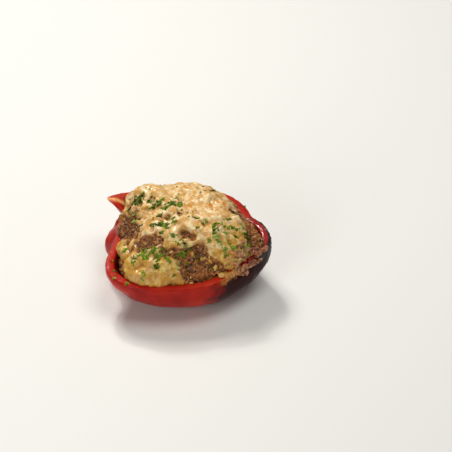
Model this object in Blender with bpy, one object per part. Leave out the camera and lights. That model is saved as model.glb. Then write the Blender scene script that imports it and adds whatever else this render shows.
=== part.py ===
"""Stuffed bell pepper: one baked half of a red bell pepper, heaped with minced meat under melted cheese.

Run with blender --background --python part.py, or from Blender's text editor. Metres, +Z up. The pepper lies
on its skin with the cut side up. +X runs from its blossom end, where three toes stand out, to its stem end.
Angles go round the pepper from +X, anticlockwise seen from above, in degrees. The origin ends up on the
surface that the pepper stands on, below the middle of its box.
"""

import math

import bmesh
import bpy
from mathutils import Vector, noise

MM = 0.001

# Driving dimensions of the pepper half.
RIM_RADIUS = 40.5 * MM
BODY_RADIUS = 41.0 * MM
REST_RADIUS = 15.0 * MM
RIM_HEIGHT = 30.7 * MM
RIM_TILT = 0.148
WALL = 5.4 * MM
ROUNDING = 0.5 * MM
WALL_SWEEP = 100.0

# Driving dimensions of the filling and the cheese.
FIT_GAP = 0.5 * MM
HEAP_HEIGHT = 48.5 * MM
HEAP_TILT = 0.05
HEAP_FULLNESS = 3.4
CHEESE_GAP = 0.4 * MM
CHEESE_THICKNESS = 2.2 * MM
CHEESE_EDGE = 0.9 * MM
LUMP_SIZE = 13.0 * MM
LUMP_DEPTH = 1.1 * MM

# Faceting.
AROUND = 80
SKIN_RINGS = 12
CAVITY_RINGS = 7
HEAP_RINGS = 12
CHEESE_RINGS = 8

# Swells of an outline: angle, spread before it, spread after it, rise.
RIM_SWELLS = (
    (148.5, 20, 3.5, 16.0 * MM),  # far toe, a pointed flap
    (159, 7, 8, 2.0 * MM),
    (214, 21, 35, 13.5 * MM),  # near toe
    (316, 18, 14, -2.5 * MM),  # flat side under the crust
    (352, 14, 22, 6.0 * MM),  # stem-end lobe
    (22, 6, 14, -2.5 * MM),  # stem notch
)
BODY_SWELLS = (
    (142, 20, 14, 8.5 * MM),
    (166, 19, 17, 11.5 * MM),  # middle toe, whole and lower than the cut
    (191, 6, 5, -3.0 * MM),
    (216, 17, 34, 9.5 * MM),
    (350, 24, 24, 5.0 * MM),
)
RIM_RISES = (
    (148.5, 12, 7, 1.0 * MM),
    (171, 13, 13, -1.5 * MM),
    (348, 30, 28, 2.0 * MM),
)
# The waist under the flap's tip: angle, spread, height on the wall, spread, depth.
THROAT = (148, 6.5, 0.86, 0.08, 12.0 * MM)
# How far the filling's edge stands above the rim, and how far it leans out over it.
EDGE_LEVEL = 0.9 * MM
COLLAR = 0.5 * MM
EDGE_SWELLS = (
    (208, 12, 12, -3.0 * MM),
    (4, 9, 14, -5.0 * MM),
)
OVERHANG = 0.4 * MM
OVERHANG_SWELLS = (
    (95, 32, 32, 3.0 * MM),
    (154, 4, 5, 3.4 * MM),
    (162, 15, 15, 5.8 * MM),
    (330, 26, 18, 5.6 * MM),
)
TOE_GAP = 3.0 * MM
TOE_GAP_SWELLS = ((207, 11, 14, 1.0), (148, 10, 4, 1.9))
# Hand-placed heights of the heap: x, y, radius, rise.
HEAP_LUMPS = (
    (-26 * MM, 27 * MM, 13 * MM, 4.0 * MM),
    (-31 * MM, 10 * MM, 10 * MM, 2.6 * MM),
    (-18 * MM, -22 * MM, 13 * MM, 2.0 * MM),
    (17 * MM, -8 * MM, 12 * MM, 1.6 * MM),
    (10 * MM, -28 * MM, 10 * MM, -1.2 * MM),
    (4 * MM, 24 * MM, 12 * MM, 1.5 * MM),
)
# How far out the cheese reaches, as a share of the heap's radius.
CHEESE_REACH = 0.74
CHEESE_SWELLS = (
    (92, 45, 42, 0.21),
    (184, 26, 17, -0.22),
    (238, 24, 22, 0.23),
    (283, 12, 10, -0.26),
    (320, 18, 16, 0.20),
    (8, 20, 20, -0.08),
)
# Creases between the bottom lobe and the side lobes: angle round the pepper's long axis, from +Y.
CREASES = (-138.0, -40.0)
CREASE_SPREAD = 8.5
CREASE_DEPTH = 2.0 * MM
LONG_AXIS = Vector((0.0, 2.0 * MM, 27.0 * MM))

PEPPER_RED = (0.46, 0.012, 0.008, 1.0)
MEAT_BROWN = (0.19, 0.085, 0.040, 1.0)
CHEESE_GOLD = (0.72, 0.47, 0.17, 1.0)


def clear_scene():
    for obj in list(bpy.data.objects):
        bpy.data.objects.remove(obj)


def ease(low, high, value):
    """0 below low, 1 above high, and smooth between them."""
    share = min(1.0, max(0.0, (value - low) / (high - low)))
    return share * share * (3.0 - 2.0 * share)


def mix(first, second, share):
    return first + (second - first) * share


def swell(angle, swells):
    """What the swells add up to at this angle."""
    total = 0.0
    for centre, before, after, rise in swells:
        away = (angle - centre + 180.0) % 360.0 - 180.0
        spread = before if away < 0.0 else after
        total += rise * math.exp(-((away / spread) ** 2))
    return total


def at(angle, radius, height):
    turn = math.radians(angle)
    return Vector((radius * math.cos(turn), radius * math.sin(turn), height))


def rim_radius(angle):
    return RIM_RADIUS + swell(angle, RIM_SWELLS)


def rim_height(angle):
    depth = rim_radius(angle) * math.sin(math.radians(angle))
    return RIM_HEIGHT + RIM_TILT * depth + swell(angle, RIM_RISES)


def crease(point, share):
    """The point drawn in where a crease runs, more so towards the two ends of the pepper."""
    out = point - LONG_AXIS
    out.x = 0.0
    around = math.degrees(math.atan2(out.z, out.y))
    near = sum(math.exp(-(((around - line) / CREASE_SPREAD) ** 2)) for line in CREASES)
    towards_end = 0.3 + 0.7 * min(1.0, abs(point.x) / RIM_RADIUS) ** 2
    return point - out.normalized() * (CREASE_DEPTH * near * towards_end * share)


def throat(angle, climb):
    """How far the wall is drawn in under the flap's tip."""
    middle, spread, height, rise, depth = THROAT
    return depth * math.exp(-(((angle - middle) / spread) ** 2) - ((climb - height) / rise) ** 2)


def wall_point(angle, climb, wall=0.0):
    """A point of the pepper's skin, or of its cavity where wall is its thickness. climb is 0 at the flat
    spot below and 1 at the rim."""
    to_rim = ease(0.66, 0.98, climb)
    outline = mix(BODY_RADIUS + swell(angle, BODY_SWELLS), rim_radius(angle), to_rim)
    sweep = math.radians(WALL_SWEEP)
    out = math.sin(climb * sweep) / math.sin(sweep)
    up = (1.0 - math.cos(climb * sweep)) / (1.0 - math.cos(sweep))
    radius = mix(REST_RADIUS, outline, out) - throat(angle % 360.0, climb) - wall
    height = mix(wall, rim_height(angle), up)
    lift = ease(0.0, 0.25, climb) * (1.0 - to_rim)
    return crease(at(angle, radius, height), lift)


def rim_point(angle, across):
    """A point of the cut face. across is 0 at the skin and 1 at the cavity."""
    skin = wall_point(angle, 1.0)
    cavity = wall_point(angle, 1.0, WALL)
    point = skin.lerp(cavity, across)
    point.z += ROUNDING * math.sin(math.pi * across)
    return point


def filling_radius(angle):
    """The filling's radius where it meets the rim. It leaves a hollow in the two cut toes."""
    inside = math.hypot(*wall_point(angle, 1.0, WALL).xy)
    return inside - FIT_GAP - TOE_GAP * swell(angle, TOE_GAP_SWELLS)


def edge_height(angle):
    return rim_height(angle) + ROUNDING + EDGE_LEVEL + swell(angle, EDGE_SWELLS)


def filling_point(angle, climb):
    """A point of the filling's side inside the cavity. climb is 0 at its floor and 1 at the rim."""
    point = wall_point(angle, climb, WALL + FIT_GAP)
    inner = filling_radius(angle) / math.hypot(*wall_point(angle, 1.0, WALL + FIT_GAP).xy)
    point.xy *= mix(1.0, inner, ease(0.5, 1.0, climb))
    point.z = min(point.z, edge_height(angle) - 2.0 * COLLAR)
    return point


def collar_point(angle):
    """A point of the filling's side, upright between the cavity and the heap's edge."""
    return at(angle, filling_radius(angle), min(rim_height(angle), edge_height(angle) - COLLAR))


def heap_radius(angle):
    leans = ease(0.2 * MM, 0.8 * MM, edge_height(angle) - rim_height(angle) - ROUNDING)
    return filling_radius(angle) + OVERHANG + leans * swell(angle, OVERHANG_SWELLS)


def heap_point(angle, share):
    """A point of the heap's top. share is 0 at its middle and 1 at its edge."""
    point = at(angle, share * heap_radius(angle), 0.0)
    crown = HEAP_HEIGHT + HEAP_TILT * point.y
    point.z = mix(crown, edge_height(angle), share**HEAP_FULLNESS)
    inland = 1.0 - share**6
    for x, y, radius, rise in HEAP_LUMPS:
        away = math.hypot(point.x - x, point.y - y) / radius
        point.z += inland * rise * math.exp(-(away**2))
    point.z += inland * LUMP_DEPTH * noise.noise(point / LUMP_SIZE)
    return point


def cheese_point(angle, share, thickness):
    """A point of the cheese. share is 0 at the middle and 1 at its edge."""
    reach = CHEESE_REACH + swell(angle, CHEESE_SWELLS)
    point = heap_point(angle, share * reach)
    point.z += CHEESE_GAP + thickness
    return point


def loft(name, rings, top_is_point):
    """A closed object through the rings, each a function of the angle. The first ring is filled flat, and the
    last is filled flat or, as on a crown, drawn to a point."""
    bm = bmesh.new()
    step = bm.verts.layers.int.new("step")
    made = bmesh.ops.create_circle(bm, segments=AROUND, radius=1.0)
    for vert in made["verts"]:
        vert[step] = round(math.degrees(math.atan2(vert.co.y, vert.co.x)) * AROUND / 360.0)
    verts, edges = made["verts"], list(bm.edges)
    place(verts, step, rings[0])
    bmesh.ops.contextual_create(bm, geom=edges)
    for ring in rings[1:]:
        grown = bmesh.ops.extrude_edge_only(bm, edges=edges)["geom"]
        verts = [part for part in grown if isinstance(part, bmesh.types.BMVert)]
        edges = [part for part in grown if isinstance(part, bmesh.types.BMEdge)]
        place(verts, step, ring)
    if top_is_point:
        middle = sum((vert.co for vert in verts), Vector()) / len(verts)
        bmesh.ops.pointmerge(bm, verts=verts, merge_co=middle)
    else:
        bmesh.ops.contextual_create(bm, geom=edges)
    bmesh.ops.triangulate(bm, faces=bm.faces, quad_method="SHORT_EDGE")
    bmesh.ops.recalc_face_normals(bm, faces=bm.faces)
    mesh = bpy.data.meshes.new(name)
    bm.to_mesh(mesh)
    bm.free()
    mesh.shade_smooth()
    mesh.set_sharp_from_angle(angle=math.radians(50))
    obj = bpy.data.objects.new(name, mesh)
    bpy.context.scene.collection.objects.link(obj)
    return obj


def place(verts, step, ring):
    for vert in verts:
        vert.co = ring(vert[step] * 360.0 / AROUND)


def steps(count, first=0.0, last=1.0):
    return [mix(first, last, index / count) for index in range(count + 1)]


def pepper_half():
    """The lobed half shell: up the skin, over the cut face and down into the cavity."""
    rings = [lambda angle, climb=climb: wall_point(angle, climb) for climb in steps(SKIN_RINGS)]
    rings += [lambda angle, across=across: rim_point(angle, across) for across in (0.3, 0.7)]
    rings += [
        lambda angle, climb=climb: wall_point(angle, climb, WALL)
        for climb in steps(CAVITY_RINGS, 1.0, 0.0)
    ]
    return loft("pepper_half", rings, top_is_point=False)


def meat_filling():
    """The minced meat: a core that fills the cavity, and the heap above the rim."""
    rings = [
        lambda angle, climb=climb: filling_point(angle, climb) for climb in steps(CAVITY_RINGS)[:-1]
    ]
    rings += [collar_point, lambda angle: at(angle, filling_radius(angle), edge_height(angle))]
    rings += [
        lambda angle, share=share: heap_point(angle, share)
        for share in [1.0 - part**1.3 for part in steps(HEAP_RINGS)]
    ]
    return loft("meat_filling", rings, top_is_point=True)


def melted_cheese():
    """The cheese, a lens that lies on the heap, from the middle of its underside to that of its top."""
    shares = [part**0.85 for part in steps(CHEESE_RINGS)][1:]
    rings = [lambda angle, share=share: cheese_point(angle, share, 0.0) for share in shares]
    rings += [
        lambda angle, share=share: cheese_point(
            angle, share, mix(CHEESE_THICKNESS, CHEESE_EDGE, share**2)
        )
        for share in [*reversed(shares), 0.0]
    ]
    return loft("melted_cheese", rings, top_is_point=True)


def dress(obj, colour, roughness):
    material = bpy.data.materials.new(obj.name)
    material.use_nodes = True
    shader = material.node_tree.nodes["Principled BSDF"]
    shader.inputs["Base Color"].default_value = colour
    shader.inputs["Roughness"].default_value = roughness
    shader.inputs["Metallic"].default_value = 0.0
    obj.data.materials.append(material)


def stand_on_origin(objects):
    """Shifts the meshes together, so that the origin is below the middle of their common box."""
    points = [vert.co for obj in objects for vert in obj.data.vertices]
    low = Vector(min(point[axis] for point in points) for axis in range(3))
    high = Vector(max(point[axis] for point in points) for axis in range(3))
    middle = (low + high) / 2.0
    for obj in objects:
        for vert in obj.data.vertices:
            vert.co -= Vector((middle.x, middle.y, low.z))


def main():
    clear_scene()
    pepper, meat, cheese = pepper_half(), meat_filling(), melted_cheese()
    stand_on_origin((pepper, meat, cheese))
    dress(pepper, PEPPER_RED, 0.25)
    dress(meat, MEAT_BROWN, 0.6)
    dress(cheese, CHEESE_GOLD, 0.4)


main()
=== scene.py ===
"""The looks of a baked, stuffed bell pepper: glossy skin, crumbly mince, melted cheese and parsley."""

import math
import random

import bmesh
import bpy
from mathutils import Euler, Matrix, Vector, noise
from mathutils.bvhtree import BVHTree


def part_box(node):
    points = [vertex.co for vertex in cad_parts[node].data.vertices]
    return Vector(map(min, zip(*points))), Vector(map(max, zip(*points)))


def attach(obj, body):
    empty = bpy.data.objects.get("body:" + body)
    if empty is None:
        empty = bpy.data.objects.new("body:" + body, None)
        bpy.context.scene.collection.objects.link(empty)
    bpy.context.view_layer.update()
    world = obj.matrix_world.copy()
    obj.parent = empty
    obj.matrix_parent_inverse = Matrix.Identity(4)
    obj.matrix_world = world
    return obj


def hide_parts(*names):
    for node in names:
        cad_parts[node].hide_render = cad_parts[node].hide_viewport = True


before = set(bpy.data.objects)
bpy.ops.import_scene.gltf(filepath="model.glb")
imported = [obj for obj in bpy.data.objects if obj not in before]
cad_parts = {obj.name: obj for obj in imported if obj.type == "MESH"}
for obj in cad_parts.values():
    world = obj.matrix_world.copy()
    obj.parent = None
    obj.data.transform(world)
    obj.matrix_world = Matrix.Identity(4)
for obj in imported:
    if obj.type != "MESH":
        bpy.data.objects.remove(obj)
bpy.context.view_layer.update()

MM = 0.001

# How finely each surface is made.
MINCE_VOXEL = 0.40 * MM
CHEESE_VOXEL = 0.49 * MM
SHELL_LEVELS = 1

# Below this height the heap is hidden inside the pepper, and is left out.
HEAP_CUT = 18.0 * MM
# Things that fall on the heap start this far above it.
FALL = 20.0 * MM

# The pepper is measured in slices of this many degrees around its middle.
SECTOR = 3
# Where the blackened lobe, the orange crisp line and the scorched side lie around it, in degrees.
BLACK_LOBE, CRISP_LINE, SCORCHED_SIDE = -3.0, -38.0, -22.0
# The cut flap that stands up behind the toes, in millimetres: its tip, and the line of its back edge.
FLAP_TIP = Vector((-46.0, 30.0, 36.0))
FLAP_BACK = 29.6
FLAP_SLANT = 0.10

# The minced meat's clumps, crumbs and grains, in millimetres.
CLUMP_SIZE = 4.6
CRUMB_SIZE = 1.9
GRAIN_SIZE = 0.9
# The cheese in millimetres: its usual thickness, what it loses for each millimetre away from the plain sheet,
# and the thickness, counted below the meat, where the sheet ends. Then how thick the sheet itself is.
CHEESE_BODY = 0.70
CHEESE_FADE = 0.16
CHEESE_LEAST = -1.1
CHEESE_SHEET = 0.9 * MM
# Patches of cheese with fewer points than this are left out.
LEAST_PATCH = 60

# Windows in the cheese and mounds of it. Places on the heap are shares of its box, from its middle: along,
# across. Then radius and rise in millimetres.
MEAT_WINDOWS = (
    (-0.80, -0.02, 6.5, -2.6),
    (-0.85, -0.02, 4.5, -2.2),
    (-0.71, -0.30, 4.5, -2.4),
    (-0.60, -0.59, 4.5, -2.2),
    (-0.48, -0.62, 4.5, -2.4),
    (-0.38, -0.63, 3.4, -2.0),
    (-0.66, -0.22, 2.6, -1.4),
    (-0.25, -0.20, 2.8, -2.6),
    (-0.10, -0.10, 2.4, -2.6),
    (-0.01, -0.51, 3.2, -2.8),
    (0.09, -0.53, 2.6, -2.4),
    (-0.15, -0.74, 2.8, -2.4),
    (0.06, -0.70, 2.8, -2.0),
    (-0.24, -0.76, 2.2, -1.6),
    (0.14, -0.67, 4.0, -2.4),
    (0.00, -0.74, 2.6, -2.0),
    (0.24, -0.69, 3.0, -1.8),
    (-0.07, -0.77, 3.0, -1.8),
    (0.20, -0.78, 5.5, -2.4),
    (0.11, -0.89, 7.0, -2.8),
    (0.34, -0.83, 5.5, -2.4),
    (0.27, -0.88, 6.0, -2.6),
    (0.01, -0.84, 4.0, -2.2),
    (-0.60, -0.86, 2.6, -2.2),
    (-0.72, -0.55, 2.0, -1.2),
    (-0.28, -0.75, 2.4, -1.2),
    (-0.42, -0.49, 2.2, -1.2),
    (0.87, -0.24, 5.5, -2.6),
    (0.75, -0.03, 4.0, -2.2),
    (0.84, -0.42, 3.6, -2.4),
    (0.58, 0.12, 2.4, -2.4),
    (0.68, 0.09, 3.4, -1.8),
    (0.88, -0.35, 4.0, -2.2),
    (0.30, 0.19, 2.0, -1.4),
    (0.04, 0.19, 2.0, -1.4),
    (-0.17, 0.56, 1.6, -1.2),
    (0.38, -0.05, 1.8, -1.2),
)
CHEESE_MOUNDS = (
    (-0.86, -0.31, 4.6, 4.0),
    (-0.82, -0.48, 3.4, 3.0),
    (-0.85, -0.86, 4.6, 4.2),
    (-0.75, -1.00, 3.0, 2.6),
    (-0.56, 0.05, 2.8, 2.4),
    (-0.66, -0.05, 2.2, 1.0),
    (0.01, -0.35, 4.5, 1.6),
    (-0.12, -0.26, 3.5, 1.4),
    (0.14, -0.43, 4.5, 1.5),
    (0.27, -0.50, 4.5, 1.3),
    (0.40, -0.46, 5.0, 1.2),
    (-0.09, -0.62, 2.6, 2.0),
    (0.04, -0.61, 2.4, 1.8),
    (0.14, -0.58, 2.4, 1.2),
    (-0.22, -0.67, 2.4, 1.2),
    (-0.22, -0.58, 3.2, 1.4),
    (-0.32, -0.51, 2.0, 1.0),
    (-0.22, -0.82, 3.0, 1.2),
    (-0.48, -0.85, 4.5, 1.6),
    (-0.56, -0.92, 5.0, 1.6),
    (-0.38, -0.90, 4.0, 1.2),
    (-0.25, -0.96, 5.0, 1.6),
    (-0.12, -0.93, 4.0, 1.8),
    (-0.06, -0.97, 3.4, 2.6),
    (-0.37, -0.99, 5.0, 1.8),
    (-0.56, -0.97, 5.0, 2.0),
    (-0.71, -0.87, 5.0, 2.4),
    (-0.76, -0.76, 4.0, 2.2),
    (0.68, -0.52, 5.0, 2.2),
    (0.72, -0.42, 3.4, 1.6),
    (0.60, -0.62, 4.0, 1.6),
    (0.66, -0.20, 4.0, 1.2),
    (0.50, -0.64, 4.5, 1.8),
    (0.35, -0.65, 4.0, 1.6),
    (0.27, -0.70, 2.6, 1.6),
    (0.60, -0.71, 3.4, 1.8),
    (0.45, -0.78, 2.6, 1.4),
    (0.63, -0.39, 3.0, 1.2),
    (0.43, -0.20, 3.0, 1.6),
    (0.50, 0.18, 3.0, 1.4),
    (-0.64, 0.45, 5.0, 1.0),
    (-0.44, 0.47, 6.0, 1.1),
    (-0.24, 0.53, 6.0, 1.0),
    (-0.04, 0.50, 5.0, 1.0),
    (0.17, 0.33, 6.0, 1.0),
    (0.30, 0.18, 5.0, 1.0),
    (0.10, 0.09, 5.0, 0.9),
    (-0.36, 0.27, 5.0, 0.8),
    (-0.84, 0.54, 4.5, 1.4),
    (-0.90, 0.62, 4.5, 1.2),
    (-0.84, 0.34, 4.0, 1.2),
    (-0.74, 0.22, 4.5, 1.3),
    (-0.82, 0.18, 3.0, 0.9),
    (0.41, -0.11, 5.0, 0.9),
    (0.70, 0.34, 3.0, 0.8),
)
# Mounds and hollows of the meat itself.
MEAT_MOUNDS = (
    (-0.92, 0.64, 5.4, -3.8),
    (-0.91, 0.50, 4.6, -1.2),
    (-0.89, 0.19, 4.0, 1.2),
    (-0.86, 0.06, 5.0, 3.2),
    (-0.86, -0.10, 5.0, 3.2),
    (-0.85, -0.24, 4.0, 2.6),
    (0.90, 0.12, 4.0, 1.2),
    (0.93, -0.19, 4.0, 1.4),
)
# Where the meat is darkest: partly its own deeper browning, partly painted shade under the heap's bulges.
DARK_MEAT_AND_SHADE = (
    (-0.78, 0.00, 11.0, 0.55),
    (-0.55, -0.45, 7.0, 0.35),
    (0.10, -0.85, 9.0, 0.35),
    (0.05, -0.60, 5.0, 0.35),
)
# Shreds of cheese: from along, across, to along, across, then half width and rise in millimetres.
STRANDS = (
    (-0.66, -0.05, -0.46, -0.22, 0.9, 1.9),
    (-0.46, -0.22, -0.37, -0.21, 0.9, 1.9),
    (-0.58, -0.09, -0.54, -0.39, 0.8, 1.9),
    (-0.54, -0.41, -0.46, -0.52, 1.0, 1.9),
    (-0.46, -0.52, -0.37, -0.43, 0.8, 1.9),
    (-0.23, -0.06, -0.09, -0.34, 1.0, 1.9),
    (-0.18, 0.06, -0.13, -0.14, 1.0, 1.9),
    (-0.12, -0.34, 0.11, -0.47, 1.2, 1.9),
    (-0.36, -0.22, -0.22, -0.35, 0.9, 1.9),
    (-0.25, -0.55, -0.15, -0.63, 1.0, 1.9),
    (-0.17, -0.66, 0.01, -0.60, 1.1, 1.9),
    (0.01, -0.60, 0.07, -0.51, 0.8, 1.9),
    (-0.22, -0.75, -0.09, -0.74, 0.9, 1.9),
    (0.07, -0.60, 0.16, -0.57, 0.8, 1.9),
    (-0.73, -0.50, -0.69, -0.34, 0.9, 1.9),
    (-0.90, 0.34, -0.83, 0.30, 0.8, 1.9),
    (-0.48, -0.71, -0.35, -0.67, 1.0, 1.9),
    (-0.12, -0.77, 0.01, -0.77, 0.8, 1.9),
    (-0.36, -0.84, -0.22, -0.88, 1.0, 1.9),
    (0.11, -0.73, 0.17, -0.67, 0.7, 1.9),
    (-0.17, -0.85, -0.06, -0.87, 0.9, 1.9),
    (0.71, -0.05, 0.60, -0.17, 0.8, 1.9),
    (0.75, -0.51, 0.70, -0.60, 0.9, 1.9),
    (0.27, -0.59, 0.43, -0.61, 1.0, 1.9),
)
# Toasted places of the cheese: along, across, radius in millimetres.
TOASTED = (
    (-0.62, 0.56, 4.0),
    (-0.30, 0.62, 4.0),
    (-0.05, 0.56, 4.0),
    (0.05, 0.30, 5.0),
    (0.16, 0.12, 7.0),
    (0.34, 0.05, 6.0),
    (0.42, 0.24, 5.0),
    (-0.56, 0.08, 4.0),
    (-0.84, 0.46, 4.0),
    (0.58, -0.52, 4.0),
    (0.30, -0.45, 4.0),
    (-0.15, -0.68, 4.5),
    (-0.50, -0.92, 6.0),
    (-0.66, -0.90, 5.0),
    (0.58, 0.02, 5.0),
    (0.66, -0.40, 4.0),
)

# Chopped parsley: along, across, spread in millimetres, leaflets, tone from 0, dark, to 1, pale.
DARK, MID, BRIGHT, PALE = 0.24, 0.46, 0.74, 0.92
PARSLEY = (
    (-0.67, 0.28, 2.8, 17, DARK),
    (-0.50, 0.23, 2.0, 8, MID),
    (-0.40, 0.15, 2.0, 10, DARK),
    (-0.45, 0.08, 1.8, 7, DARK),
    (-0.29, 0.02, 1.9, 8, MID),
    (-0.22, 0.12, 1.9, 8, MID),
    (-0.08, 0.08, 1.8, 8, MID),
    (-0.57, 0.35, 1.3, 4, MID),
    (-0.34, 0.22, 1.0, 3, PALE),
    (-0.13, 0.27, 1.0, 3, PALE),
    (-0.36, -0.15, 1.5, 5, DARK),
    (-0.25, -0.21, 1.0, 3, PALE),
    (-0.43, -0.35, 2.0, 9, DARK),
    (-0.35, -0.37, 1.8, 8, DARK),
    (-0.29, -0.43, 1.9, 9, MID),
    (-0.18, -0.27, 1.0, 3, MID),
    (-0.16, -0.37, 1.4, 4, DARK),
    (-0.62, -0.25, 1.5, 5, DARK),
    (-0.68, 0.01, 2.0, 4, PALE),
    (-0.74, 0.18, 1.6, 4, PALE),
    (-0.32, -0.55, 0.9, 2, MID),
    (-0.18, -0.63, 1.7, 5, MID),
    (-0.02, -0.70, 2.5, 12, MID),
    (-0.44, -0.73, 2.0, 8, MID),
    (-0.55, -0.69, 1.4, 5, PALE),
    (-0.45, -0.78, 1.5, 5, MID),
    (-0.33, -0.78, 1.2, 4, BRIGHT),
    (-0.60, -0.77, 1.6, 5, BRIGHT),
    (-0.53, -0.80, 1.6, 5, BRIGHT),
    (-0.69, -0.76, 1.6, 5, MID),
    (-0.54, -0.84, 1.4, 4, MID),
    (-0.37, -0.85, 2.0, 7, MID),
    (-0.28, -0.86, 1.6, 5, MID),
    (-0.22, -0.88, 1.0, 3, BRIGHT),
    (-0.10, -0.88, 1.3, 4, PALE),
    (-0.41, -0.93, 1.6, 5, DARK),
    (-0.81, -0.48, 1.0, 3, MID),
    (-0.83, -0.53, 1.0, 3, MID),
    (-0.09, -0.75, 1.4, 5, MID),
    (0.13, -0.25, 1.5, 5, MID),
    (0.25, -0.27, 1.1, 3, BRIGHT),
    (0.36, -0.35, 1.9, 6, MID),
    (0.13, -0.45, 1.1, 3, MID),
    (0.20, -0.35, 0.8, 2, DARK),
    (0.53, -0.25, 1.3, 3, DARK),
    (0.46, -0.35, 1.0, 2, MID),
    (0.39, -0.56, 2.5, 12, PALE),
    (0.36, -0.46, 1.7, 5, MID),
    (0.51, -0.46, 1.0, 3, PALE),
    (0.57, -0.38, 1.4, 4, MID),
    (0.78, -0.40, 2.3, 11, DARK),
    (0.64, -0.47, 0.9, 3, DARK),
    (0.67, -0.38, 1.4, 3, MID),
    (0.51, -0.66, 1.4, 5, PALE),
    (0.60, -0.62, 1.1, 3, MID),
    (0.64, -0.62, 1.4, 5, BRIGHT),
    (0.75, -0.53, 1.4, 5, PALE),
    (0.80, -0.46, 1.0, 3, BRIGHT),
    (0.29, -0.62, 0.9, 3, MID),
    (0.53, -0.55, 0.8, 2, MID),
    (0.13, -0.78, 1.2, 3, DARK),
    (0.00, -0.84, 0.8, 2, BRIGHT),
    (0.74, -0.24, 1.0, 3, PALE),
    (0.34, 0.53, 0.8, 2, DARK),
    (-0.57, -1.01, 1.6, 6, BRIGHT),
    (-0.77, -1.01, 1.0, 3, MID),
    (-0.17, -1.01, 0.9, 3, MID),
    (-0.99, -0.55, 0.8, 2, MID),
    (-0.97, -0.74, 0.8, 2, MID),
    (-0.95, -0.88, 0.7, 2, BRIGHT),
    (0.99, -0.28, 0.9, 3, PALE),
    (0.76, 0.64, 0.9, 3, MID),
)
PARSLEY_FLECKS = 90

# Burnt flakes: along, across, size in millimetres, how many.
BURNT = (
    (0.58, 0.10, 2.4, 6),
    (0.60, 0.02, 1.4, 3),
    (-0.76, 0.26, 1.4, 3),
    (-0.80, -0.10, 1.2, 3),
    (-0.72, -0.22, 1.2, 2),
    (0.29, 0.46, 1.0, 2),
    (0.06, -0.93, 1.2, 2),
    (0.20, -0.95, 1.6, 2),
    (0.44, -0.84, 1.2, 2),
)
# Nuggets of cheese: along, across, size in millimetres, how many.
NUGGETS = (
    (-0.56, 0.08, 3.6, 1),
    (0.43, -0.80, 3.6, 2),
    (0.25, -0.70, 2.2, 2),
    (0.20, -0.76, 1.2, 5),
    (0.30, -0.76, 1.6, 3),
    (0.07, -0.73, 2.6, 1),
    (0.03, -0.60, 1.6, 3),
    (0.17, -0.47, 1.8, 2),
    (-0.33, -0.28, 1.1, 4),
    (-0.20, -0.18, 1.1, 4),
    (-0.44, -0.18, 1.2, 3),
    (-0.52, -0.62, 1.0, 3),
    (-0.58, -0.86, 1.2, 3),
    (0.09, -0.96, 2.2, 2),
    (0.70, -0.05, 1.3, 4),
)
LOOSE_CRUMBS = 320

# Shreds without a place of their own. One that rises more than NAMED_SHRED also spans bare meat.
RANDOM_STRANDS = 230
NAMED_SHRED = 1.2
# The grid that finds the shreds near a point, in millimetres.
SHRED_CELL = 5.0

# The crust on the low rim, between these turns in degrees.
CRUST_START, CRUST_END = -58.0, -14.0
CRUST_LUMPS = 150

# What the pepper's material reads at each point, each from 0 to 1.
SHELL_LAYERS = ("skin", "cut", "char", "scorch", "crisp", "wet", "toe", "flame", "dusk")
# What the cheese's material reads: its thickness in millimetres, how browned it is and how golden it is,
# where the gold lower down is partly painted shade, each from 0 to 1, and its relief in millimetres.
CHEESE_LAYERS = ("thick", "toast", "golden_and_shade", "ridge")

# Lights: name, place in metres, width, power, colour.
LIGHTS = (
    ("window", (-0.26, 0.55, 0.80), 0.36, 5.4, (1.0, 0.97, 0.92)),
    ("overhead", (0.30, -0.05, 0.95), 0.60, 3.6, (1.0, 0.98, 0.95)),
    ("sparkle", (-0.22, 0.70, 0.85), 0.07, 1.8, (1.0, 0.99, 0.97)),
    ("front_fill", (-0.55, -0.85, 0.45), 0.60, 4.4, (1.0, 0.97, 0.94)),
)
ROOM_COLOUR = (1.0, 0.98, 0.94, 1.0)
ROOM_LIGHT = 0.14
CAMERA_PLACE = (0.02185, -1.08466, 0.81464)
CAMERA_TILT = 54.415
LENS = 188.56
SENSOR = 36.0


class Value:
    """A number or colour inside a material. Arithmetic on it adds Math nodes."""

    def __init__(self, look, socket):
        self.look = look
        self.socket = socket

    def __add__(self, other):
        return self.look.math("ADD", self, other)

    def __rsub__(self, other):
        return self.look.math("SUBTRACT", other, self)

    def __mul__(self, other):
        return self.look.math("MULTIPLY", self, other)

    __radd__ = __add__
    __rmul__ = __mul__

    def ease(self, low, high):
        """0 below low, 1 above high, and smooth between them."""
        limits = {"Value": self, "From Min": low, "From Max": high}
        return self.look.node("ShaderNodeMapRange", {"interpolation_type": "SMOOTHSTEP"}, limits)


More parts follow.
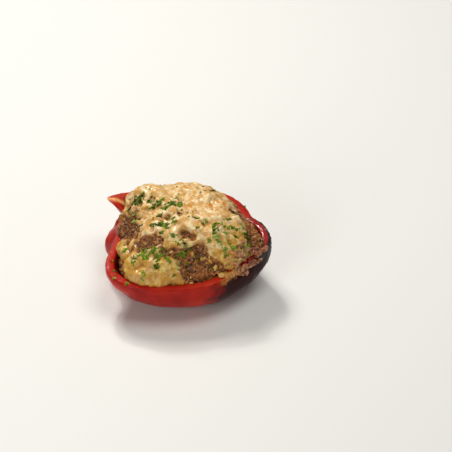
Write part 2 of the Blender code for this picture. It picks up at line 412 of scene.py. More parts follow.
class Look:
    """A material written as expressions. Its constants are set on the shader's own sockets."""

    def __init__(self, name, constants):
        self.material = bpy.data.materials.new(name)
        self.material.use_nodes = True
        self.tree = self.material.node_tree
        self.shader = self.tree.nodes["Principled BSDF"]
        self.join(self.shader, constants)
        self.place = self.node("ShaderNodeTexCoord", output="Object")

    def join(self, node, inputs):
        for socket, value in inputs.items():
            if isinstance(value, Value):
                self.tree.links.new(value.socket, node.inputs[socket])
            else:
                node.inputs[socket].default_value = value

    def node(self, kind, settings=None, inputs=None, output=0):
        made = self.tree.nodes.new(kind)
        for name, value in (settings or {}).items():
            setattr(made, name, value)
        self.join(made, inputs or {})
        return Value(self, made.outputs[output])

    def math(self, operation, first, second):
        return self.node("ShaderNodeMath", {"operation": operation}, {0: first, 1: second})

    def mix(self, factor, first, second):
        settings = {"data_type": "RGBA", "clamp_factor": True}
        return self.node("ShaderNodeMix", settings, {0: factor, 6: first, 7: second}, output=2)

    def noise(self, size, detail=3.0):
        """Cloudy values around 0.5, with features of this size."""
        inputs = {"Vector": self.place, "Scale": 1.0 / size, "Detail": detail}
        return self.node("ShaderNodeTexNoise", {}, inputs)

    def cells(self, size):
        """How far the nearest of many scattered points is."""
        inputs = {"Vector": self.place, "Scale": 1.0 / size}
        return self.node("ShaderNodeTexVoronoi", {}, inputs, output="Distance")

    def attribute(self, name):
        return self.node("ShaderNodeAttribute", {"attribute_name": name}, output="Fac")

    def bump(self, height, distance, strength):
        inputs = {"Height": height, "Distance": distance, "Strength": strength}
        return self.node("ShaderNodeBump", {}, inputs)

    def finish(self, **inputs):
        """Feeds the shader's varying sockets, named with underscores for spaces."""
        self.join(self.shader, {name.replace("_", " "): value for name, value in inputs.items()})
        return self.material


def rgb(red, green, blue):
    return (red, green, blue, 1.0)


def ease(low, high, value):
    share = min(1.0, max(0.0, (value - low) / (high - low)))
    return share * share * (3.0 - 2.0 * share)


def mix(first, second, share):
    return first + (second - first) * share


def merged(node):
    """A CAD node's surface with its loose triangles joined up into quads."""
    bm = bmesh.new()
    bm.from_mesh(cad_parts[node].data)
    bmesh.ops.remove_doubles(bm, verts=bm.verts, dist=0.002 * MM)
    bmesh.ops.join_triangles(
        bm, faces=bm.faces, angle_face_threshold=math.pi, angle_shape_threshold=math.pi
    )
    return bm


def through_modifier(bm, kind, **settings):
    """The surface as one modifier leaves it."""
    mesh = bpy.data.meshes.new("work")
    bm.to_mesh(mesh)
    bm.free()
    obj = bpy.data.objects.new("work", mesh)
    bpy.context.scene.collection.objects.link(obj)
    modifier = obj.modifiers.new(kind, kind)
    for name, value in settings.items():
        setattr(modifier, name, value)
    done = bmesh.new()
    done.from_object(obj, bpy.context.evaluated_depsgraph_get())
    bpy.data.objects.remove(obj)
    bpy.data.meshes.remove(mesh)
    done.normal_update()
    return done


def smooth(bm, times):
    for _ in range(times):
        bmesh.ops.smooth_vert(
            bm, verts=bm.verts, factor=0.5, use_axis_x=True, use_axis_y=True, use_axis_z=True
        )
    bm.normal_update()


def finished(bm, name, material):
    """The piece's object, riding on the one body."""
    mesh = bpy.data.meshes.new(name)
    bm.to_mesh(mesh)
    bm.free()
    mesh.shade_smooth()
    mesh.materials.append(material)
    obj = bpy.data.objects.new(name, mesh)
    bpy.context.scene.collection.objects.link(obj)
    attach(obj, "root")
    return obj


HEAP_LOW, HEAP_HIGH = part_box("meat_filling")
HEAP_MIDDLE = (HEAP_LOW + HEAP_HIGH) / 2.0
HEAP_HALF = (HEAP_HIGH - HEAP_LOW) / 2.0
CHEESE_TREE = BVHTree.FromBMesh(merged("melted_cheese"))


def above(along, across):
    """The point high over this place of the heap."""
    x = HEAP_MIDDLE.x + along * HEAP_HALF.x
    y = HEAP_MIDDLE.y + across * HEAP_HALF.y
    return Vector((x, y, HEAP_HIGH.z + FALL))


def dropped(tree, point):
    """Where a point falls on a surface, with the normal there."""
    return tree.ray_cast(point, Vector((0.0, 0.0, -1.0)))[:2]


def heap_surface(voxel):
    """The heap as evenly spaced quads, from above the rim down to inside the cavity."""
    bm = merged("meat_filling")
    everything = [*bm.verts, *bm.edges, *bm.faces]
    bmesh.ops.bisect_plane(
        bm, geom=everything, plane_co=(0, 0, HEAP_CUT), plane_no=(0, 0, 1), clear_inner=True
    )
    bmesh.ops.holes_fill(bm, edges=bm.edges, sides=0)
    bm = through_modifier(bm, "REMESH", mode="VOXEL", voxel_size=voxel)
    smooth(bm, 4)
    for vert in bm.verts:
        rise = bulge(vert.co / MM, MEAT_SPOTS)
        outward = vert.normal if rise > 0.0 else (vert.co - HEAP_MIDDLE).normalized()
        vert.co += outward * rise * MM
    bm.normal_update()
    return bm


def open_below(bm):
    """Takes away the hidden floor of the heap."""
    floor = [face for face in bm.faces if face.calc_center_median().z < HEAP_CUT + 0.6 * MM]
    bmesh.ops.delete(bm, geom=floor, context="FACES")


def spots_on_heap(table):
    """The table's places as points on the heap, each with the rest of its row."""
    found = []
    for along, across, *rest in table:
        point = dropped(HEAP_CAD_TREE, above(along, across))[0]
        if point is not None:
            found.append((point / MM, *rest))
    return found


def bulge(place, spots):
    """The soft mounds' and hollows' height here, in millimetres."""
    height = 0.0
    for spot, radius, rise in spots:
        away = (place - spot).length_squared / radius**2
        if away < 5.0:
            height += rise * math.exp(-away)
    return height


def strand_height(place):
    """How far the shreds of cheese stand up here, in millimetres."""
    height = 0.0
    cell = (round(place.x / SHRED_CELL), round(place.y / SHRED_CELL))
    for start, end, radius, rise in SHREDS.get(cell, ()):
        run = end - start
        share = min(1.0, max(0.0, (place - start).dot(run) / run.length_squared))
        away = (place - start - run * share).length_squared / radius**2
        if away < 5.0:
            height = max(height, rise * math.exp(-away))
    return height


HEAP_CAD_TREE = BVHTree.FromBMesh(merged("meat_filling"))
MEAT_SPOTS = spots_on_heap(MEAT_MOUNDS)
DARK_MEAT_AND_SHADE_SPOTS = spots_on_heap(DARK_MEAT_AND_SHADE)
CHEESE_SPOTS = spots_on_heap(MEAT_WINDOWS + CHEESE_MOUNDS)
TOAST_SPOTS = spots_on_heap(TOASTED)
HEAP = heap_surface(CHEESE_VOXEL)
HEAP_TREE = BVHTree.FromBMesh(HEAP)


def shreds():
    """Each shred's ends on the heap, in millimetres, with its half width and rise."""
    rng = random.Random(12)
    wanted = list(STRANDS)
    for _ in range(RANDOM_STRANDS):
        along = rng.uniform(-0.85, 0.85)
        across = rng.uniform(-0.95, 0.85)
        turn = rng.gauss(-0.7, 0.7)
        length = rng.uniform(0.10, 0.30)
        ends = (along + length * math.cos(turn), across + length * math.sin(turn))
        wanted.append((along, across, *ends, rng.uniform(0.55, 0.9), rng.uniform(0.5, 1.15)))
    made = []
    for from_along, from_across, to_along, to_across, radius, rise in wanted:
        start = dropped(HEAP_TREE, above(from_along, from_across))[0]
        end = dropped(HEAP_TREE, above(to_along, to_across))[0]
        if start is not None and end is not None:
            made.append((start / MM, end / MM, radius, rise))
    return made


def by_cell(made):
    """Which shreds pass near each cell of a coarse grid."""
    cells = {}
    for shred in made:
        start, end = shred[:2]
        steps = max(2, round((end - start).length))
        near = set()
        for step in range(steps + 1):
            place = start.lerp(end, step / steps)
            for dx in (-0.5, 0.5):
                for dy in (-0.5, 0.5):
                    near.add((round(place.x / SHRED_CELL + dx), round(place.y / SHRED_CELL + dy)))
        for cell in near:
            cells.setdefault(cell, []).append(shred)
    return cells


SHREDS = by_cell(shreds())


def clouds(place, size, octaves=3):
    """Soft noise from -1 to 1, with features of this size. Place and size are in millimetres."""
    return noise.fractal(place / size, 0.8, 2.0, octaves)


def cheese_thickness(point):
    """How thick the cheese is here and how far a shred stands up, in millimetres. Below 0 the meat shows."""
    place = point / MM
    nearest = CHEESE_TREE.find_nearest(point)[3] / MM
    thick = CHEESE_BODY - CHEESE_FADE * max(0.0, nearest - 0.5)
    wobble = noise.noise_vector(place / 4.0) * 1.6
    thick += bulge(place + wobble, CHEESE_SPOTS)
    thick += 0.7 * clouds(place, 5.0) + 0.4 * clouds(place + Vector((40.0, 7.0, 3.0)), 2.2, 2)
    shred = strand_height(place + wobble * 0.7)
    if shred < NAMED_SHRED:
        shred *= ease(-1.6, 0.0, thick)
    return min(max(thick, -2.0) + shred, 3.0), shred


def toast(place):
    """How browned the cheese is here, from 0 to 1."""
    amount = 0.0
    for spot, radius in TOAST_SPOTS:
        amount += math.exp(-(((place - spot).length / radius) ** 2))
    amount = min(1.0, amount) * ease(-0.35, 0.45, clouds(place + Vector((9.0, 3.0, 1.0)), 3.2))
    return min(1.0, amount + 0.7 * ease(0.30, 0.65, clouds(place + Vector((3.0, 70.0, 5.0)), 4.6)))


def cheese_relief(place):
    """The cheese's own lumps, folds and pits, in millimetres."""
    warped = place + noise.noise_vector(place / 4.0) * 2.0
    lumps = 0.50 * clouds(warped, 3.2, 2)
    folds = 1.0 - abs(noise.noise(Vector((warped.x * 0.40, warped.y * 0.60, warped.z * 0.45)))) * 3.0
    pits = noise.voronoi(warped / 2.8)[0][0]
    return lumps + 0.36 * max(0.0, folds) - 0.60 * ease(0.28, 0.05, pits) - 0.1


def crumbs(place):
    """Ground meat's relief in millimetres, how deep a groove is, for painted shade in the gaps between
    crumbs, and the tone of the crumb here.
    """
    warped = place + noise.noise_vector(place / 2.2) * 1.2
    clump_near, clump_far = noise.voronoi(warped / CLUMP_SIZE)[0][:2]
    clump = ease(0.0, 0.30, clump_far - clump_near)
    (near, far, *_), (centre, *_) = noise.voronoi(warped / CRUMB_SIZE)
    crumb = ease(0.0, 0.35, far - near)
    tone = noise.cell(centre * 7.31) % 1.0
    fine_near, fine_far = noise.voronoi(warped / GRAIN_SIZE)[0][:2]
    grain = ease(0.0, 0.5, fine_far - fine_near)
    relief = 0.60 * clump + crumb * (0.10 + 0.70 * tone) * (1.0 - 0.8 * near * near) + 0.22 * grain - 0.8
    relief += 0.8 * clouds(place + Vector((11.0, 0.0, 0.0)), 7.0) + 0.35 * clouds(place, 2.0, 2)
    return relief, 1.0 - (0.45 + 0.55 * clump) * (0.55 + 0.45 * crumb) * (0.7 + 0.3 * grain), tone


def mince():
    """The heap of minced meat: crumbs in relief on its core."""
    bm = heap_surface(MINCE_VOXEL)
    open_below(bm)
    groove_shade = bm.verts.layers.float.new("groove_shade")
    tone = bm.verts.layers.float.new("tone")
    moves = []
    for vert in bm.verts:
        place = vert.co / MM
        relief, vert[groove_shade], vert[tone] = crumbs(place)
        # Partly the meat's own darker browning, partly painted shade: the tone is lowered at the dark spots.
        vert[tone] -= bulge(place, DARK_MEAT_AND_SHADE_SPOTS)
        moves.append(vert.normal * relief * MM)
    for vert, move in zip(bm.verts, moves):
        vert.co += move
    bmesh.ops.holes_fill(bm, edges=bm.edges, sides=0)
    bmesh.ops.recalc_face_normals(bm, faces=bm.faces)
    return bm


def cheese_sheet():
    """The melted cheese: a sheet over the heap with windows where the meat shows."""
    bm = HEAP.copy()
    thick, toasted, golden_and_shade, ridge = [bm.verts.layers.float.new(name) for name in CHEESE_LAYERS]
    moves = {}
    hidden = []
    for vert in bm.verts:
        if vert.co.z < HEAP_CUT + 4.0 * MM:
            hidden.append(vert)
            continue
        place = vert.co / MM
        vert[thick], shred = cheese_thickness(vert.co)
        if vert[thick] < CHEESE_LEAST:
            hidden.append(vert)
            continue
        vert[toasted] = toast(place)
        # Golden lower down: partly the melted cheese's own gold, partly painted shade on the lower, less lit
        # slopes.
        vert[golden_and_shade] = ease(47.0, 35.0, place.z + 6.0 * clouds(place, 9.0, 2))
        melt = ease(-0.5, 0.9, vert[thick])
        vert[ridge] = mix(0.7 * crumbs(place)[0] + 0.1, cheese_relief(place), melt)
        moves[vert] = vert.normal * (vert[thick] + vert[ridge]) * MM
        # The shreds count as ridges, so the material paints them paler than the shaded dips.
        vert[ridge] += 0.7 * shred - 0.15
    for vert, move in moves.items():
        vert.co += move
    bmesh.ops.delete(bm, geom=hidden, context="VERTS")
    drop_loose_islands(bm, LEAST_PATCH)
    smooth(bm, 2)
    return through_modifier(bm, "SOLIDIFY", thickness=CHEESE_SHEET, offset=-1.0)


def drop_loose_islands(bm, least):
    """Deletes patches of fewer points than this."""
    seen = set()
    scraps = []
    for start in bm.verts:
        if start in seen:
            continue
        seen.add(start)
        island = [start]
        for vert in island:
            for edge in vert.link_edges:
                other = edge.other_vert(vert)
                if other not in seen:
                    seen.add(other)
                    island.append(other)
        if len(island) < least:
            scraps += island
    bmesh.ops.delete(bm, geom=scraps, context="VERTS")


def pepper_middle():
    """The middle of the flat spot that the pepper rests on."""
    spot = [vert.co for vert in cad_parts["pepper_half"].data.vertices if vert.co.z < 0.01 * MM]
    low = Vector(min(point[axis] for point in spot) for axis in range(2))
    high = Vector(max(point[axis] for point in spot) for axis in range(2))
    return (low + high) / 2.0


PEPPER_MIDDLE = pepper_middle()


def sector(place):
    """Which slice around the pepper a point lies in, and its distance from the middle."""
    aside = place.xy - PEPPER_MIDDLE
    return round(math.degrees(math.atan2(aside.y, aside.x)) / SECTOR) % round(360 / SECTOR), aside.length


def rim_lines():
    """The rim's outer radius and its height in each slice."""
    reach = {}
    height = {}
    bm = merged("pepper_half")
    bmesh.ops.subdivide_edges(bm, edges=bm.edges, cuts=3, use_grid_fill=True)
    for vert in bm.verts:
        slice_number, away = sector(vert.co)
        height[slice_number] = max(vert.co.z, height.get(slice_number, 0.0))
        if vert.co.z > 20.0 * MM:
            reach[slice_number] = max(away, reach.get(slice_number, 0.0))
    bm.free()
    return reach, height


RIM_REACH, RIM_HEIGHT = rim_lines()


def shell_looks(vert):
    """What the pepper's material needs to know at this point, from 0 to 1."""
    place = vert.co / MM
    slice_number, away = sector(vert.co)
    out = (vert.co.xy - PEPPER_MIDDLE).normalized()
    angle = math.degrees(math.atan2(out.y, out.x))
    inward = (RIM_REACH.get(slice_number, away) - away) / MM
    below = (RIM_HEIGHT.get(slice_number, 0.0) - vert.co.z) / MM
    ragged = clouds(place, 3.0)
    cut = ease(0.45, 0.85, vert.normal.z) * ease(17.0, 21.0, place.z)
    skin = max(ease(-0.05, 0.35, vert.normal.xy.dot(out)), ease(-0.2, -0.6, vert.normal.z)) * (1.0 - cut)
    char = ease(27.0, 19.0, abs(angle - BLACK_LOBE)) * ease(2.7, 1.8, inward + 0.6 * ragged)
    char *= ease(24.0, 28.0, place.z + 0.1 * max(0.0, -angle))
    patchy = angle - SCORCHED_SIDE + 16.0 * clouds(place, 14.0)
    scorch = ease(64.0, 22.0, abs(patchy)) * skin * mix(0.55, 1.0, ease(2.0, 18.0, place.z))
    crisp = ease(28.0, 20.0, abs(angle - CRISP_LINE)) * ease(1.8, 0.9, inward)
    crisp *= ease(4.2, 3.0, below + 1.4 * ragged)
    wet = ease(30.0, 20.0, abs(angle)) * (1.0 - skin) * ease(16.0, 20.0, place.z)
    flap = ease(20.0, 27.0, place.z) * ease(12.0, 20.0, place.y) * ease(-26.0, -34.0, place.x)
    back = place.y + FLAP_SLANT * (place.x - FLAP_TIP.x) - FLAP_BACK
    toe = flap * ease(-1.6, -0.4, back) * ease(1.4, 0.5, back)
    # The flap's inner face: its own orange flesh, lifted brighter towards the top as painted glow of light
    # shining through the flap.
    flame = flap * ease(-0.2, -1.2, back) * ease(-46.0, -41.0, place.x)
    flame *= mix(0.4, 1.0, ease(26.0, 32.0, place.z))
    dusk = flap * ease(0.6, 1.5, back)
    return skin, cut, char, scorch, crisp, wet, toe, flame, dusk


def pepper_shell():
    """The pepper half: rippled skin, grainy flesh, a crusty black lobe and the flap's tip drawn out."""
    bm = merged("pepper_half")
    bmesh.ops.subdivide_edges(bm, edges=bm.edges, cuts=1, use_grid_fill=True)
    bm = through_modifier(bm, "SUBSURF", levels=SHELL_LEVELS, render_levels=SHELL_LEVELS)
    layers = [bm.verts.layers.float.new(name) for name in SHELL_LAYERS]
    moves = []
    for vert in bm.verts:
        place = vert.co / MM
        looks = shell_looks(vert)
        for layer, value in zip(layers, looks):
            vert[layer] = value
        skin, _, char = looks[:3]
        ripple = 0.30 * clouds(place, 9.0) + 0.10 * clouds(place, 3.0, 2)
        grain = 0.22 * clouds(place, 2.6) + 0.10 * clouds(place, 0.9, 2)
        relief = mix(grain, ripple, skin) + 0.45 * char * clouds(place, 1.3, 2)
        if place.z < 1.0:
            relief *= place.z
        out = (vert.co.xy - PEPPER_MIDDLE).normalized()
        tip = ease(6.0, 1.0, (place - FLAP_TIP).length)
        moves.append(vert.normal * relief * MM + out.to_3d() * tip * 1.2 * MM)
    for vert, move in zip(bm.verts, moves):
        vert.co += move
        vert.co.z = max(vert.co.z, 0.0)
    bm.normal_update()
    return bm


def facing(normal, turn):
    """A turn that stands +Z along the normal, spun by this angle."""
    return normal.to_track_quat("Z", "Y").to_matrix().to_4x4() @ Matrix.Rotation(turn, 4, "Z")


def add_leaflet(bm, tone_layer, spot, normal, size, tone, rng):
    """One chopped, crinkled scrap of a leaf."""
    made = bmesh.ops.create_grid(bm, x_segments=4, y_segments=4, size=0.5)
    tilt = Euler((rng.uniform(-0.7, 0.7), rng.uniform(-0.7, 0.7), 0.0)).to_matrix().to_4x4()
    frame_of_leaf = Matrix.Translation(spot) @ facing(normal, rng.uniform(0.0, math.tau)) @ tilt
    length = size * rng.uniform(0.8, 1.5)
    width = size * rng.uniform(0.5, 0.95)
    lobes = rng.choice((3, 5))
    phase = rng.uniform(0.0, math.tau)
    curl = rng.uniform(0.5, 1.3)
    for vert in made["verts"]:
        across = math.hypot(vert.co.x, vert.co.y)
        around = math.atan2(vert.co.y, vert.co.x)
        reach = 1.0 + 0.32 * math.cos(lobes * around + phase) * ease(0.2, 0.6, across)
        x = vert.co.x * reach
        y = vert.co.y * reach
        lift = 0.28 * curl * math.cos(5.0 * x + phase) + 0.24 * curl * math.sin(6.5 * y + 2.0 * phase)
        vert.co = frame_of_leaf @ Vector((x * length, y * width, (lift + 0.25) * size * 0.6))
        vert[tone_layer] = tone + rng.uniform(-0.06, 0.06)


def parsley(tree):
    """Chopped parsley, in clusters on the cheese, the meat and the rim."""
    rng = random.Random(21)
    bm = bmesh.new()
    tone_layer = bm.verts.layers.float.new("tone")
    for along, across, spread, count, tone in PARSLEY:
        middle = above(along, across)
        for _ in range(round(1.5 * count)):
            aside = Vector((rng.gauss(0.0, 0.55), rng.gauss(0.0, 0.55), 0.0)) * spread * MM
            spot, normal = dropped(tree, middle + aside)
            if spot is None:
                continue
            size = rng.uniform(0.9, 1.9) * MM
            shade = min(1.0, max(0.0, tone + rng.gauss(0.0, 0.22)))
            add_leaflet(bm, tone_layer, spot + normal * 0.12 * MM, normal, size, shade, rng)
    bmesh.ops.solidify(bm, geom=bm.faces, thickness=0.16 * MM)
    return bm


def scattered_parsley(tree, count):
    """Single flecks between the clusters."""
    rng = random.Random(5)
    bm = bmesh.new()
    tone_layer = bm.verts.layers.float.new("tone")
    for _ in range(count):
        spot, normal = dropped(tree, above(rng.uniform(-0.95, 0.95), rng.uniform(-1.0, 0.9)))
        if spot is None or spot.z < HEAP_CUT + 8.0 * MM:
            continue
        size = rng.uniform(0.6, 1.3) * MM
        add_leaflet(bm, tone_layer, spot + normal * 0.08 * MM, normal, size, rng.random(), rng)
    bmesh.ops.solidify(bm, geom=bm.faces, thickness=0.13 * MM)
    return bm


def add_crumb(bm, layers, spot, normal, size, rng):
    """One rounded, uneven crumb, half sunk in what it lies on."""
    made = bmesh.ops.create_icosphere(bm, subdivisions=2, radius=1.0)
    turned = Matrix.Translation(spot + normal * 0.15 * size) @ facing(normal, rng.uniform(0.0, math.tau))
    shape = Vector((rng.uniform(0.8, 1.5), rng.uniform(0.6, 1.0), rng.uniform(0.5, 0.8))) * size * 0.5
    shift = Vector((rng.uniform(0, 50), rng.uniform(0, 50), rng.uniform(0, 50)))
    tone = rng.random()
    for vert in made["verts"]:
        lump = 1.0 + 0.60 * noise.noise(vert.co * 1.5 + shift)
        place = vert.co * lump
        vert.co = turned @ Vector((place.x * shape.x, place.y * shape.y, place.z * shape.z))
        for layer, value in zip(layers, (tone, 0.15)):
            vert[layer] = value


def loose_mince(tree, count):
    """Loose crumbs of meat where no cheese lies."""
    rng = random.Random(8)
    bm = bmesh.new()
    layers = (bm.verts.layers.float.new("tone"), bm.verts.layers.float.new("groove_shade"))
    made = 0
    while made < count:
        place = above(rng.uniform(-0.98, 0.98), rng.uniform(-0.98, 0.85))
        base = dropped(HEAP_TREE, place)[0]
        if base is None or cheese_thickness(base)[0] > -0.1:
            continue
        spot, normal = dropped(tree, place)
        made += 1
        if (spot - base).length < 1.6 * MM:
            add_crumb(bm, layers, spot, normal, rng.uniform(0.6, 1.5) * MM, rng)
    return bm


def rim_crust(tree):
    """Mince baked into a ragged crust on the low rim beside the stem end: a bead, and crumbs inside it."""
    rng = random.Random(14)
    bm = bmesh.new()
    for number in range(CRUST_LUMPS):
        share = (number + rng.random()) / CRUST_LUMPS
        angle = math.radians(mix(CRUST_START, CRUST_END, share))
        slice_number = round(math.degrees(angle) / SECTOR) % round(360 / SECTOR)
        bead = number % 2 == 0
        inward = rng.gauss(1.7, 0.35) if bead else rng.uniform(2.0, 6.0)
        away = RIM_REACH[slice_number] - inward * MM
        aside = Vector((math.cos(angle), math.sin(angle))) * away + PEPPER_MIDDLE
        spot, normal = dropped(tree, Vector((aside.x, aside.y, HEAP_HIGH.z + FALL)))
        if spot is None:
            continue
        fullness = 0.55 + 0.45 * math.sin(math.pi * share) ** 0.5
        size = (rng.uniform(2.4, 3.6) if bead else rng.uniform(1.2, 2.4)) * fullness * MM
        lift = rng.uniform(-0.2, 0.6) * fullness * MM
        add_crumb(bm, (), spot + Vector((0.0, 0.0, lift)), normal, size, rng)
    bm = through_modifier(bm, "REMESH", mode="VOXEL", voxel_size=0.30 * MM)
    smooth(bm, 2)
    tone = bm.verts.layers.float.new("tone")
    glow = bm.verts.layers.float.new("glow")
    moves = []
    for vert in bm.verts:
        place = vert.co / MM
        vert[tone] = 0.5 + 0.9 * clouds(place, 2.2)
        aside = vert.co.xy - PEPPER_MIDDLE
        angle = math.degrees(math.atan2(aside.y, aside.x))
        vert[glow] = ease(-38.0, -54.0, angle + 10.0 * clouds(place, 3.0))
        relief = 0.45 * clouds(place, 1.8, 2) + 0.5 * crumbs(place)[0] + 0.1
        moves.append(vert.normal * relief * MM)
    for vert, move in zip(bm.verts, moves):
        vert.co += move
    bm.normal_update()
    return bm


def burnt_flakes(tree):
    """A few black flakes burnt onto the cheese."""
    rng = random.Random(6)
    bm = bmesh.new()
    for along, across, size, count in BURNT:
        for _ in range(count):
            aside = Vector((rng.gauss(0.0, 0.4), rng.gauss(0.0, 0.4), 0.0)) * size * MM
            spot, normal = dropped(tree, above(along, across) + aside)
            if spot is not None:
                add_crumb(bm, (), spot, normal, size * rng.uniform(0.6, 1.0) * MM, rng)
    return bm


def set_cheese_layers(bm, verts, thick, toasted, golden_and_shade, rng):
    values = {"thick": thick, "toast": toasted, "golden_and_shade": golden_and_shade, "ridge": rng.uniform(-0.1, 0.3)}
    for name, value in values.items():
        layer = bm.verts.layers.float[name]
        for vert in verts:
            vert[layer] = value


def cheese_bits(tree):
    """Golden nuggets of cheese lying on the meat."""
    rng = random.Random(3)
    bm = bmesh.new()
    for name in CHEESE_LAYERS:
        bm.verts.layers.float.new(name)
    for along, across, size, count in NUGGETS:
        for _ in range(count):
            aside = Vector((rng.gauss(0.0, 0.5), rng.gauss(0.0, 0.5), 0.0)) * size * MM * (count > 1)
            spot, normal = dropped(tree, above(along, across) + aside)
            if spot is None:
                continue
            before = set(bm.verts)
            add_crumb(bm, (), spot, normal, size * rng.uniform(0.7, 1.3) * MM, rng)
            fresh = [vert for vert in bm.verts if vert not in before]
            browned = rng.uniform(0.5, 1.0) if size > 3.0 else rng.uniform(0.0, 0.7)
            set_cheese_layers(bm, fresh, 1.0, browned, 1.0, rng)
    return bm


def skin_material():
    look = Look(
        "baked_pepper",
        {
            "Specular IOR Level": 0.08,
            "Subsurface Weight": 0.12,
            "Subsurface Scale": 2.0 * MM,
            "Subsurface Radius": (1.0, 0.25, 0.1),
            "Coat Roughness": 0.07,
        },
    )
    skin = look.attribute("skin")
    cut = look.attribute("cut")
    char = look.attribute("char")
    scorch = look.attribute("scorch")
    toe = look.attribute("toe")
    crisp = look.attribute("crisp")
    broad = look.noise(14 * MM)
    fine = look.noise(2.2 * MM, detail=5.0)
    outside = look.mix(broad.ease(0.35, 0.68), rgb(0.30, 0.005, 0.003), rgb(0.52, 0.020, 0.007))
    outside = look.mix((scorch * (0.6 + 0.8 * fine)).ease(0.1, 0.9), outside, rgb(0.030, 0.003, 0.003))
    inside = look.mix(fine.ease(0.35, 0.65), rgb(0.26, 0.003, 0.002), rgb(0.40, 0.012, 0.006))
    face = look.mix(broad.ease(0.3, 0.7), rgb(0.38, 0.008, 0.004), rgb(0.50, 0.030, 0.008))
    colour = look.mix(skin, look.mix(cut, inside, face), outside)
    wet = look.attribute("wet")
    colour = look.mix(wet * fine.ease(0.25, 0.5), colour, rgb(0.31, 0.012, 0.011))
    colour = look.mix(look.attribute("dusk"), colour, rgb(0.42, 0.030, 0.010))
    # Painted glow: the flap's orange inner face gets a near-full bright orange, as if lit through.
    colour = look.mix(look.attribute("flame"), colour, rgb(0.98, 0.21, 0.018))
    colour = look.mix(toe, colour, rgb(0.78, 0.36, 0.120))
    colour = look.mix(crisp * fine.ease(0.3, 0.55), colour, rgb(0.62, 0.23, 0.030))
    colour = look.mix(char, colour, rgb(0.012, 0.010, 0.010))
    height = look.noise(0.5 * MM, detail=3.0) * 0.6 + look.noise(2.5 * MM)
    return look.finish(
        Base_Color=colour,
        Roughness=0.26 + 0.20 * fine + 0.15 * cut + 0.15 * char,
        Coat_Weight=(0.22 - 0.18 * cut) * (1.0 - 0.6 * scorch) + 0.32 * wet + 0.3 * char,
        Normal=look.bump(height, 0.14 * MM, 0.6),
    )


def mince_material():
    look = Look(
        "ground_meat",
        {"Specular IOR Level": 0.18, "Coat Roughness": 0.15},
    )
    tone = look.attribute("tone")
    groove_shade = look.attribute("groove_shade")
    fine = look.noise(0.9 * MM, detail=4.0)
    broad = look.noise(7 * MM)
    colour = look.mix(tone.ease(0.15, 0.55), rgb(0.140, 0.047, 0.011), rgb(0.330, 0.128, 0.030))
    colour = look.mix(tone.ease(0.5, 0.9), colour, rgb(0.53, 0.225, 0.062))
    colour = look.mix(broad.ease(0.45, 0.65) * 0.6, colour, rgb(0.47, 0.160, 0.043))
    colour = look.mix(fine.ease(0.5, 0.7) * 0.5, colour, rgb(0.62, 0.300, 0.095))
    speck = look.cells(2.2 * MM).ease(0.46, 0.34) * look.noise(3.0 * MM, detail=1.0).ease(0.49, 0.55)
    colour = look.mix(speck * 0.9, colour, rgb(0.014, 0.016, 0.010))
    # Painted shade: the gaps between crumbs are darkened almost to black-brown.
    colour = look.mix(groove_shade.ease(0.35, 0.95) * 0.75, colour, rgb(0.075, 0.019, 0.006))
    height = fine + look.noise(0.35 * MM, detail=2.0) * 0.5
    return look.finish(
        Base_Color=colour,
        Roughness=0.55 - 0.25 * look.noise(1.6 * MM).ease(0.5, 0.7),
        Coat_Weight=0.06 + 0.44 * look.noise(2.0 * MM).ease(0.48, 0.60),
        Normal=look.bump(height, 0.2 * MM, 0.7),
    )


def burnt_material():
    look = Look("burnt_bits", {"Specular IOR Level": 0.3, "Roughness": 0.45})
    colour = look.mix(look.noise(1.5 * MM), rgb(0.010, 0.007, 0.006), rgb(0.050, 0.018, 0.010))
    return look.finish(Base_Color=colour)


def crust_material():
    look = Look("crisp_edge", {"Specular IOR Level": 0.4, "Coat Weight": 0.15, "Coat Roughness": 0.2})
    tone = look.attribute("tone")
    fine = look.noise(1.1 * MM, detail=4.0)
    colour = look.mix(tone.ease(0.2, 0.6), rgb(0.19, 0.052, 0.020), rgb(0.47, 0.175, 0.072))
    colour = look.mix(tone.ease(0.6, 0.95), colour, rgb(0.60, 0.320, 0.170))
    colour = look.mix(look.attribute("glow") * 0.9, colour, rgb(0.64, 0.290, 0.055))
    colour = look.mix(fine.ease(0.52, 0.32) * 0.7, colour, rgb(0.11, 0.030, 0.012))
    return look.finish(
        Base_Color=colour,
        Roughness=0.45 + 0.2 * fine,
        Normal=look.bump(fine + look.noise(0.4 * MM), 0.2 * MM, 0.7),
    )


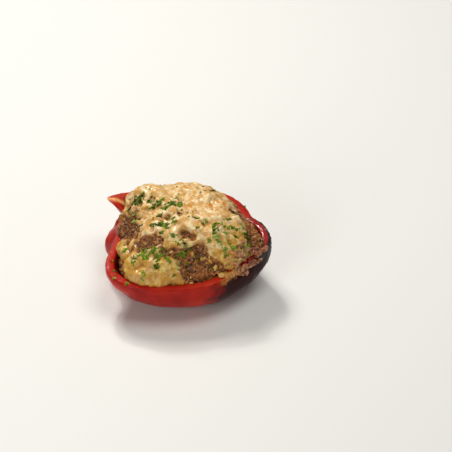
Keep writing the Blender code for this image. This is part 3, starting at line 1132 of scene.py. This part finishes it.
def cheese_material():
    look = Look(
        "melted_cheese",
        {
            "Specular IOR Level": 0.15,
            "Subsurface Weight": 0.2,
            "Subsurface Scale": 1.2 * MM,
            "Subsurface Radius": (1.0, 0.6, 0.22),
            "Coat Roughness": 0.16,
        },
    )
    thick = look.attribute("thick")
    ridge = look.attribute("ridge")
    toasted = look.attribute("toast")
    golden_and_shade = look.attribute("golden_and_shade")
    broad = look.noise(5 * MM)
    fine = look.noise(1.5 * MM, detail=4.0)
    cream = look.mix(broad.ease(0.38, 0.56), rgb(0.63, 0.345, 0.090), rgb(0.81, 0.62, 0.335))
    yellow = look.mix(broad.ease(0.42, 0.6), rgb(0.60, 0.335, 0.032), rgb(0.80, 0.60, 0.150))
    patches = look.noise(4 * MM, detail=2.0).ease(0.60, 0.44)
    # Golden lower down: partly the cheese's own colour, partly painted shade.
    colour = look.mix(golden_and_shade * (0.35 + 0.6 * patches), cream, yellow)
    # The dips and the thinnest cheese are painted browner and darker: partly thin translucent cheese over
    # meat, partly painted shade in the hollows.
    hollow_tint_and_shade = look.mix(golden_and_shade, rgb(0.66, 0.37, 0.110), rgb(0.50, 0.245, 0.042))
    colour = look.mix(ridge.ease(0.45, -0.50) * 0.9, colour, hollow_tint_and_shade)
    colour = look.mix((thick + 0.4 * ridge).ease(1.0, -0.4), colour, rgb(0.33, 0.135, 0.036))
    browned = look.noise(2.6 * MM, detail=3.0)
    colour = look.mix((toasted * browned).ease(0.22, 0.56) * 0.65, colour, rgb(0.75, 0.35, 0.065))
    colour = look.mix((toasted * browned).ease(0.44, 0.66) * 0.7, colour, rgb(0.46, 0.13, 0.018))
    height = fine + look.noise(0.5 * MM, detail=2.0) * 0.35
    return look.finish(
        Base_Color=colour,
        Roughness=0.38 + 0.22 * fine,
        Coat_Weight=0.14 + 0.46 * look.noise(3 * MM).ease(0.42, 0.60),
        Normal=look.bump(height, 0.16 * MM, 0.6),
    )


def parsley_material():
    look = Look(
        "chopped_parsley",
        {
            "Specular IOR Level": 0.12,
            "Subsurface Weight": 0.1,
            "Subsurface Scale": 0.5 * MM,
            "Subsurface Radius": (0.4, 1.0, 0.1),
        },
    )
    tone = look.attribute("tone")
    fine = look.noise(0.8 * MM)
    colour = look.mix(tone.ease(0.0, 0.4), rgb(0.022, 0.044, 0.004), rgb(0.120, 0.200, 0.012))
    colour = look.mix(tone.ease(0.4, 0.8), colour, rgb(0.250, 0.390, 0.020))
    colour = look.mix(tone.ease(0.85, 1.0), colour, rgb(0.290, 0.390, 0.100))
    colour = look.mix(fine.ease(0.5, 0.7) * 0.35, colour, rgb(0.020, 0.045, 0.004))
    return look.finish(
        Base_Color=colour,
        Roughness=0.38 + 0.2 * fine,
        Normal=look.bump(look.noise(0.3 * MM), 0.08 * MM, 0.6),
    )


def area_light(name, place, size, power, colour):
    light = bpy.data.lights.new(name, "AREA")
    light.shape = "DISK"
    light.size = size
    light.energy = power
    light.color = colour
    obj = bpy.data.objects.new(name, light)
    obj.location = place
    obj.rotation_euler = (-Vector(place)).to_track_quat("-Z", "Y").to_euler()
    bpy.context.scene.collection.objects.link(obj)


def pale_floor():
    bm = bmesh.new()
    bmesh.ops.create_grid(bm, x_segments=1, y_segments=1, size=2.0)
    mesh = bpy.data.meshes.new("floor")
    bm.to_mesh(mesh)
    bm.free()
    look = Look("pale_floor", {"Base Color": rgb(0.80, 0.80, 0.77), "Roughness": 0.55})
    mesh.materials.append(look.material)
    floor = bpy.data.objects.new("floor", mesh)
    bpy.context.scene.collection.objects.link(floor)


def studio():
    """A plain pale floor, soft light from behind and above, and the camera."""
    for light in LIGHTS:
        area_light(*light)
    world = bpy.data.worlds.new("pale_room")
    world.use_nodes = True
    world.node_tree.nodes["Background"].inputs["Color"].default_value = ROOM_COLOUR
    world.node_tree.nodes["Background"].inputs["Strength"].default_value = ROOM_LIGHT
    bpy.context.scene.world = world
    bpy.context.scene.view_settings.view_transform = "Standard"
    pale_floor()

    camera = bpy.data.objects.new("camera", bpy.data.cameras.new("camera"))
    camera.data.sensor_width = SENSOR
    camera.data.lens = LENS
    camera.location = CAMERA_PLACE
    camera.rotation_euler = (math.radians(CAMERA_TILT), 0.0, 0.0)
    bpy.context.scene.collection.objects.link(camera)
    bpy.context.scene.camera = camera


def surface_tree(pieces):
    """The visible surfaces together, for things to fall on."""
    together = bmesh.new()
    for piece in pieces:
        together.from_mesh(piece.data)
    tree = BVHTree.FromBMesh(together)
    together.free()
    return tree


def main():
    shell = finished(pepper_shell(), "pepper_shell", skin_material())
    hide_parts("pepper_half")
    ground_meat = mince_material()
    meat = finished(mince(), "mince", ground_meat)
    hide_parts("meat_filling")
    cheese_look = cheese_material()
    cheese = finished(cheese_sheet(), "cheese", cheese_look)
    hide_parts("melted_cheese")
    tree = surface_tree((shell, meat, cheese))
    finished(loose_mince(tree, LOOSE_CRUMBS), "loose_mince", ground_meat)
    finished(rim_crust(tree), "rim_crust", crust_material())
    finished(burnt_flakes(tree), "burnt_flakes", burnt_material())
    finished(cheese_bits(tree), "cheese_nuggets", cheese_look)
    green = parsley_material()
    finished(parsley(tree), "parsley", green)
    finished(scattered_parsley(tree, PARSLEY_FLECKS), "parsley_flecks", green)
    studio()


main()
